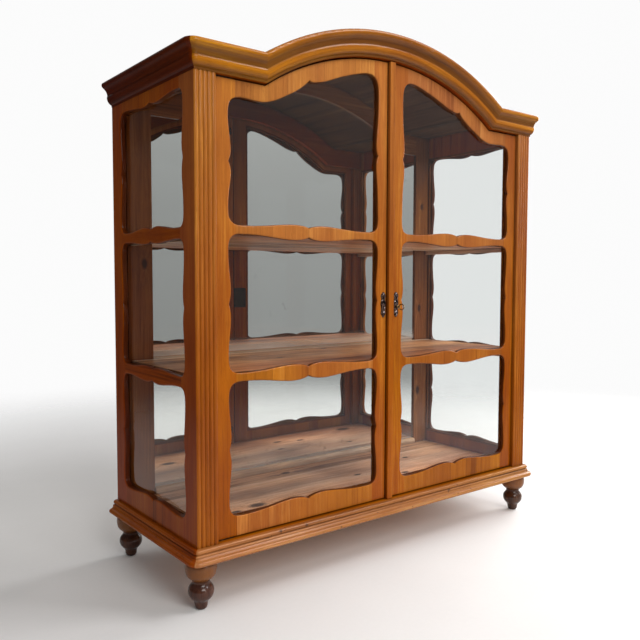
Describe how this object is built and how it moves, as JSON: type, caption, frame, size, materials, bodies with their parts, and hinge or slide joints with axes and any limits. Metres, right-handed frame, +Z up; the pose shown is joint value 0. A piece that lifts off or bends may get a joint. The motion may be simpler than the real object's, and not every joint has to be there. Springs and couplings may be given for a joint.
{
  "type": "display cabinet",
  "caption": "Wooden display cabinet with glazed doors and sides, arched cornice, reeded front posts, mirrored back, wooden shelves and turned feet.",
  "frame": {"origin": "on the floor under the middle of the cabinet's bounding box", "axes": "+Z up, the doors face -Y, +X to the right when looking at the doors"},
  "size_m": [1.256, 0.489, 1.4039],
  "materials": {
    "door_wood": "semi-gloss varnish",
    "post_wood": "semi-gloss varnish",
    "side_wood": "semi-gloss varnish",
    "moulding_wood": "semi-gloss varnish",
    "foot_wood": "semi-gloss varnish",
    "pine_wood": "worn satin",
    "back_wood": "satin",
    "bead_wood": "satin varnish",
    "clear_glass": "polished",
    "mirror_glass": "silvered",
    "aged_brass": "aged",
    "dark_iron": "dull"
  },
  "bodies": {
    "case": {"front_left_post": "post_wood", "front_right_post": "post_wood", "lintel": "post_wood", "front_bottom_rail": "post_wood", "back_left_post": "side_wood", "back_right_post": "side_wood", "left_side_top_rail": "side_wood", "left_side_mid_rails": "side_wood", "left_side_bottom_rail": "side_wood", "right_side_top_rail": "side_wood", "right_side_mid_rails": "side_wood", "right_side_bottom_rail": "side_wood", "side_glazing_beads": "side_wood", "cornice_front": "moulding_wood", "cornice_left": "moulding_wood", "cornice_right": "moulding_wood", "base_moulding_front": "moulding_wood", "base_moulding_left": "moulding_wood", "base_moulding_right": "moulding_wood", "foot_front_left": "foot_wood", "foot_front_right": "foot_wood", "foot_back_left": "foot_wood", "foot_back_right": "foot_wood", "bottom_board": "pine_wood", "lower_shelf": "pine_wood", "upper_shelf": "pine_wood", "shelf_battens": "pine_wood", "roof_panel": "pine_wood", "back_stiles": "back_wood", "back_top_rail": "back_wood", "back_bottom_rail": "back_wood", "mirror_bead": "back_wood", "backing_board": "back_wood", "side_glass": "clear_glass", "mirror_pane": "mirror_glass", "hinge_pin_plates": "dark_iron"},
    "left_door": {"left_door_hinge_stile": "door_wood", "left_door_meeting_stile": "door_wood", "left_door_top_rail": "door_wood", "left_door_mid_rails": "door_wood", "left_door_bottom_rail": "door_wood", "left_door_glass": "clear_glass", "left_door_beads": "bead_wood", "left_door_hinge_plates": "dark_iron", "left_escutcheon": "aged_brass"},
    "right_door": {"right_door_hinge_stile": "door_wood", "right_door_meeting_stile": "door_wood", "right_door_top_rail": "door_wood", "right_door_mid_rails": "door_wood", "right_door_bottom_rail": "door_wood", "right_door_glass": "clear_glass", "right_door_beads": "bead_wood", "right_door_hinge_plates": "dark_iron", "right_escutcheon": "aged_brass", "lock_case": "dark_iron", "meeting_strip": "door_wood"},
    "key": {"key": "aged_brass"},
    "lock_bolt": {"lock_bolt": "dark_iron"},
    "top_bolt": {"left_door_top_bolt": "dark_iron"},
    "bottom_bolt": {"left_door_bottom_bolt": "dark_iron"}
  },
  "joints": [
    {"name": "left_door_swing", "type": "hinge", "parent": "case", "child": "left_door", "pos_m": [-0.5315, -0.1995, 0.7], "axis": [0, 0, 1], "range_deg": [-110, 0]},
    {"name": "right_door_swing", "type": "hinge", "parent": "case", "child": "right_door", "pos_m": [0.5315, -0.1995, 0.7], "axis": [0, 0, 1], "range_deg": [0, 110]},
    {"name": "key_turn", "type": "hinge", "parent": "right_door", "child": "key", "pos_m": [0.022, -0.2165, 0.684], "axis": [0, 1, 0], "range_deg": [0, 360]},
    {"name": "lock_bolt_throw", "type": "slide", "parent": "right_door", "child": "lock_bolt", "axis": [-1, 0, 0], "range_m": [0, 0.008]},
    {"name": "top_bolt_slide", "type": "slide", "parent": "left_door", "child": "top_bolt", "axis": [0, 0, 1], "range_m": [0, 0.012]},
    {"name": "bottom_bolt_slide", "type": "slide", "parent": "left_door", "child": "bottom_bolt", "axis": [0, 0, -1], "range_m": [0, 0.012]}
  ],
  "couplings": [
    {"joint": "lock_bolt_throw", "follows": "key_turn", "m_per_rad": 0.001273}
  ]
}
